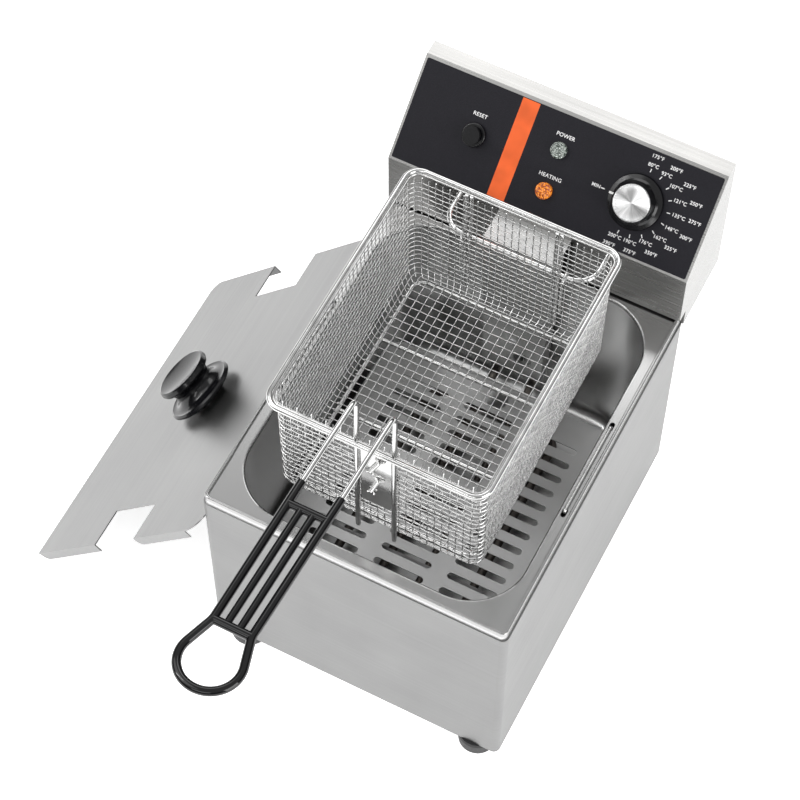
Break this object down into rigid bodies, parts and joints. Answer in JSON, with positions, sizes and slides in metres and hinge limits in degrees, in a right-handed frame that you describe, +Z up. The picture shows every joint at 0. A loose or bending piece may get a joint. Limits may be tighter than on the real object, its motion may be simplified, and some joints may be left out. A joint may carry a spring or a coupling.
{
  "type": "deep fryer",
  "caption": "Countertop electric deep fryer with lift-out tank and control head, wire basket on its drain hanger and a lid leaning on the side",
  "frame": {"origin": "middle of the whole set's bounding box in X and Y, on the floor", "axes": "+Z up; +Y runs from the basket handle towards the control head at the back, the long way of the set; +X is to the right when facing the controls, with the lid leaning on the -X side"},
  "size_m": [0.4624, 0.6638, 0.4689],
  "materials": {
    "stainless_satin": "satin brushed stainless sheet",
    "stainless_polished": "polished drawn stainless",
    "steel_wire": "bright electro-polished wire",
    "zinc_steel": "zinc plated fixings",
    "black_rubber": "moulded rubber",
    "black_handle_coat": "glossy dipped coating",
    "black_phenolic": "moulded phenolic resin",
    "label_film": "fine textured printed film",
    "lamp_clear": "faceted clear lens",
    "lamp_amber": "faceted amber lens",
    "knob_silver": "radially spun cap",
    "pointer_white": "moulded pointer line",
    "control_plastic": "moulded housings",
    "copper_bulb": "stainless sensing bulbs and capillaries",
    "heater_sheath": "heat darkened sheath",
    "wood_fibre": "fibre washer"
  },
  "bodies": {
    "casing": {"casing_shell": "stainless_satin", "base_plate": "stainless_satin", "rubber_feet": "black_rubber", "foot_screws": "zinc_steel", "foot_nuts": "zinc_steel"},
    "tank": {"oil_tank": "stainless_polished"},
    "left_bail": {"left_tank_bail": "steel_wire"},
    "right_bail": {"right_tank_bail": "steel_wire"},
    "head": {"head_shell": "stainless_satin", "head_back_panel": "stainless_satin", "head_base_tray": "stainless_satin", "back_panel_screws": "zinc_steel", "control_label": "label_film", "power_lamp_lens": "lamp_clear", "heating_lamp_lens": "lamp_amber", "lamp_bodies": "control_plastic", "lamp_nuts": "zinc_steel", "thermostat_body": "control_plastic", "high_limit_body": "control_plastic", "control_nuts": "zinc_steel", "reset_collar": "black_phenolic", "heating_element": "heater_sheath", "element_flange": "stainless_satin", "element_terminals": "zinc_steel", "element_clamps": "stainless_satin", "element_shield": "stainless_satin", "shield_screw": "zinc_steel", "bulb_clip": "stainless_satin", "thermostat_bulb": "copper_bulb", "high_limit_bulb": "copper_bulb", "thermostat_capillary": "copper_bulb", "high_limit_capillary": "copper_bulb", "basket_hanger": "steel_wire", "hanger_nuts": "zinc_steel", "contactor": "control_plastic", "terminal_block": "control_plastic", "cord_gland": "control_plastic", "cord_gland_nut": "control_plastic"},
    "reset": {"reset_button": "black_phenolic"},
    "knob": {"knob_skirt": "black_phenolic", "knob_cap": "knob_silver", "knob_pointer": "pointer_white", "thermostat_shaft": "zinc_steel"},
    "baffle": {"baffle_plate": "stainless_satin"},
    "basket": {"basket_mesh": "steel_wire", "basket_rim_wire": "steel_wire", "basket_base_wire": "steel_wire", "basket_cross_wires": "steel_wire", "basket_handle_rods": "steel_wire", "basket_handle_grip": "black_handle_coat", "basket_front_plate": "stainless_polished", "front_plate_ties": "steel_wire", "basket_rear_wires": "steel_wire", "basket_hooks": "steel_wire"},
    "lid": {"lid_plate": "stainless_satin", "lid_knob": "black_phenolic", "lid_knob_screw": "zinc_steel", "lid_knob_washer": "wood_fibre"}
  },
  "joints": [
    {"name": "tank_lift", "type": "slide", "parent": "casing", "child": "tank", "axis": [0, 0, 1], "range_m": [0, 0.2]},
    {"name": "left_bail_slide", "type": "slide", "parent": "tank", "child": "left_bail", "axis": [0, 0, 1], "range_m": [0, 0.033]},
    {"name": "right_bail_slide", "type": "slide", "parent": "tank", "child": "right_bail", "axis": [0, 0, 1], "range_m": [0, 0.033]},
    {"name": "head_lift", "type": "slide", "parent": "tank", "child": "head", "axis": [0, 0, 1], "range_m": [0, 0.19]},
    {"name": "thermostat_turn", "type": "hinge", "parent": "head", "child": "knob", "pos_m": [0.16652, 0.26842, 0.34329], "axis": [0, -0.6577, 0.7533], "range_deg": [-300, 0]},
    {"name": "reset_press", "type": "slide", "parent": "head", "child": "reset", "axis": [0, 0.6577, -0.7533], "range_m": [0, 0.0022], "stiffness_N_per_m": 900, "springref_m": -0.001},
    {"name": "baffle_lift", "type": "slide", "parent": "head", "child": "baffle", "axis": [0, 0, 1], "range_m": [0, 0.13]},
    {"name": "basket_lift", "type": "slide", "parent": "head", "child": "basket", "axis": [0, 0, 1], "range_m": [0, 0.18]},
    {"name": "lid_lift", "type": "slide", "parent": "casing", "child": "lid", "axis": [0, 0, 1], "range_m": [0, 0.3]}
  ]
}
